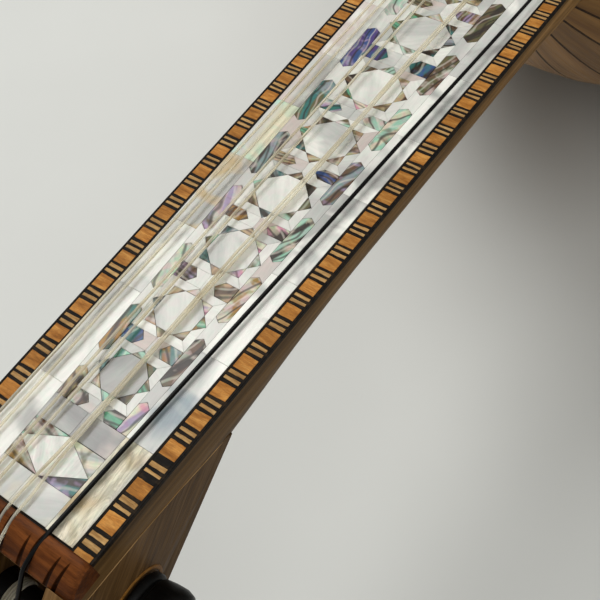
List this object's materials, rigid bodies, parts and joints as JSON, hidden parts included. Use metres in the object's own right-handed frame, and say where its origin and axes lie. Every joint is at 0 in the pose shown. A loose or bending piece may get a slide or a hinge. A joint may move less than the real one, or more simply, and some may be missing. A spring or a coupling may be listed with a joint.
{
  "type": "fretless bowl lute",
  "caption": "Short-necked fretless lute with a ribbed bowl back, carved roses, a bent-back pegbox with friction pegs, and a fingerboard inlaid with pearl stars and marquetry edges.",
  "frame": {"origin": "centre of the bounding box's underside, on the surface that the bowl lies on", "axes": "+X from the pegbox to the tail along the strings, -Y the bass side, +Z out of the soundboard"},
  "size_m": [0.8302, 0.364, 0.1941],
  "materials": {
    "rib_wood": "glossy varnish",
    "black_wood": "satin",
    "block_wood": "bare",
    "walnut": "satin varnish",
    "spruce": "satin",
    "rose_wood": "satin",
    "neck_wood": "satin varnish",
    "orange_wood": "satin",
    "tan_wood": "satin",
    "white_pearl": "polished, iridescent",
    "abalone": "polished, iridescent",
    "nut_wood": "satin",
    "pegbox_wood": "satin varnish",
    "peg_black": "satin",
    "clear_string": "clear nylon",
    "black_string": "satin"
  },
  "bodies": {
    "root": {"bowl_ribs": "rib_wood", "rib_lines": "black_wood", "neck_block": "block_wood", "tail_block": "block_wood", "tail_clasp": "walnut", "soundboard_bass": "spruce", "soundboard_treble": "spruce", "soundboard_braces": "spruce", "edge_binding": "walnut", "large_rose": "rose_wood", "small_roses": "rose_wood", "rose_rings": "black_wood", "pickguard": "walnut", "bridge": "walnut", "fingerboard": "neck_wood", "neck_core": "neck_wood", "marquetry_blocks": "orange_wood", "marquetry_light_sticks": "tan_wood", "marquetry_dark_sticks": "black_wood", "marquetry_lines": "black_wood", "pearl_bands": "white_pearl", "pearl_ground": "white_pearl", "star_centres": "white_pearl", "star_points": "abalone", "side_bars": "abalone", "house_bars": "abalone", "panel_diamonds": "white_pearl", "nut": "nut_wood", "cheek_bass": "pegbox_wood", "cheek_treble": "pegbox_wood", "pegbox_back": "pegbox_wood", "pegbox_tongue": "pegbox_wood", "pegbox_end": "pegbox_wood", "string_1": "clear_string", "string_2": "clear_string", "string_3": "clear_string", "string_4": "clear_string", "string_5": "clear_string", "string_6": "clear_string", "string_7": "black_string"},
    "peg_1_body": {"peg_1": "peg_black"},
    "peg_2_body": {"peg_2": "peg_black", "winding_1": "clear_string"},
    "peg_3_body": {"peg_3": "peg_black"},
    "peg_4_body": {"peg_4": "peg_black", "winding_2": "clear_string"},
    "peg_5_body": {"peg_5": "peg_black", "winding_7": "black_string"},
    "peg_6_body": {"peg_6": "peg_black", "winding_3": "clear_string"},
    "peg_7_body": {"peg_7": "peg_black"},
    "peg_8_body": {"peg_8": "peg_black", "winding_4": "clear_string"},
    "peg_9_body": {"peg_9": "peg_black", "winding_6": "clear_string"},
    "peg_10_body": {"peg_10": "peg_black", "winding_5": "clear_string"}
  },
  "joints": [
    {"name": "peg_1_turn", "type": "hinge", "parent": "root", "child": "peg_1_body", "pos_m": [-0.27079, 0, 0.15608], "axis": [0, -1, 0], "continuous": true},
    {"name": "peg_2_turn", "type": "hinge", "parent": "root", "child": "peg_2_body", "pos_m": [-0.28358, 0, 0.14339], "axis": [0, 1, 0], "continuous": true},
    {"name": "peg_3_turn", "type": "hinge", "parent": "root", "child": "peg_3_body", "pos_m": [-0.29637, 0, 0.1307], "axis": [0, -1, 0], "continuous": true},
    {"name": "peg_4_turn", "type": "hinge", "parent": "root", "child": "peg_4_body", "pos_m": [-0.30916, 0, 0.11801], "axis": [0, 1, 0], "continuous": true},
    {"name": "peg_5_turn", "type": "hinge", "parent": "root", "child": "peg_5_body", "pos_m": [-0.32195, 0, 0.10532], "axis": [0, -1, 0], "continuous": true},
    {"name": "peg_6_turn", "type": "hinge", "parent": "root", "child": "peg_6_body", "pos_m": [-0.33474, 0, 0.09263], "axis": [0, 1, 0], "continuous": true},
    {"name": "peg_7_turn", "type": "hinge", "parent": "root", "child": "peg_7_body", "pos_m": [-0.34753, 0, 0.07994], "axis": [0, -1, 0], "continuous": true},
    {"name": "peg_8_turn", "type": "hinge", "parent": "root", "child": "peg_8_body", "pos_m": [-0.36033, 0, 0.06725], "axis": [0, 1, 0], "continuous": true},
    {"name": "peg_9_turn", "type": "hinge", "parent": "root", "child": "peg_9_body", "pos_m": [-0.37312, 0, 0.05456], "axis": [0, -1, 0], "continuous": true},
    {"name": "peg_10_turn", "type": "hinge", "parent": "root", "child": "peg_10_body", "pos_m": [-0.38591, 0, 0.04187], "axis": [0, 1, 0], "continuous": true}
  ]
}
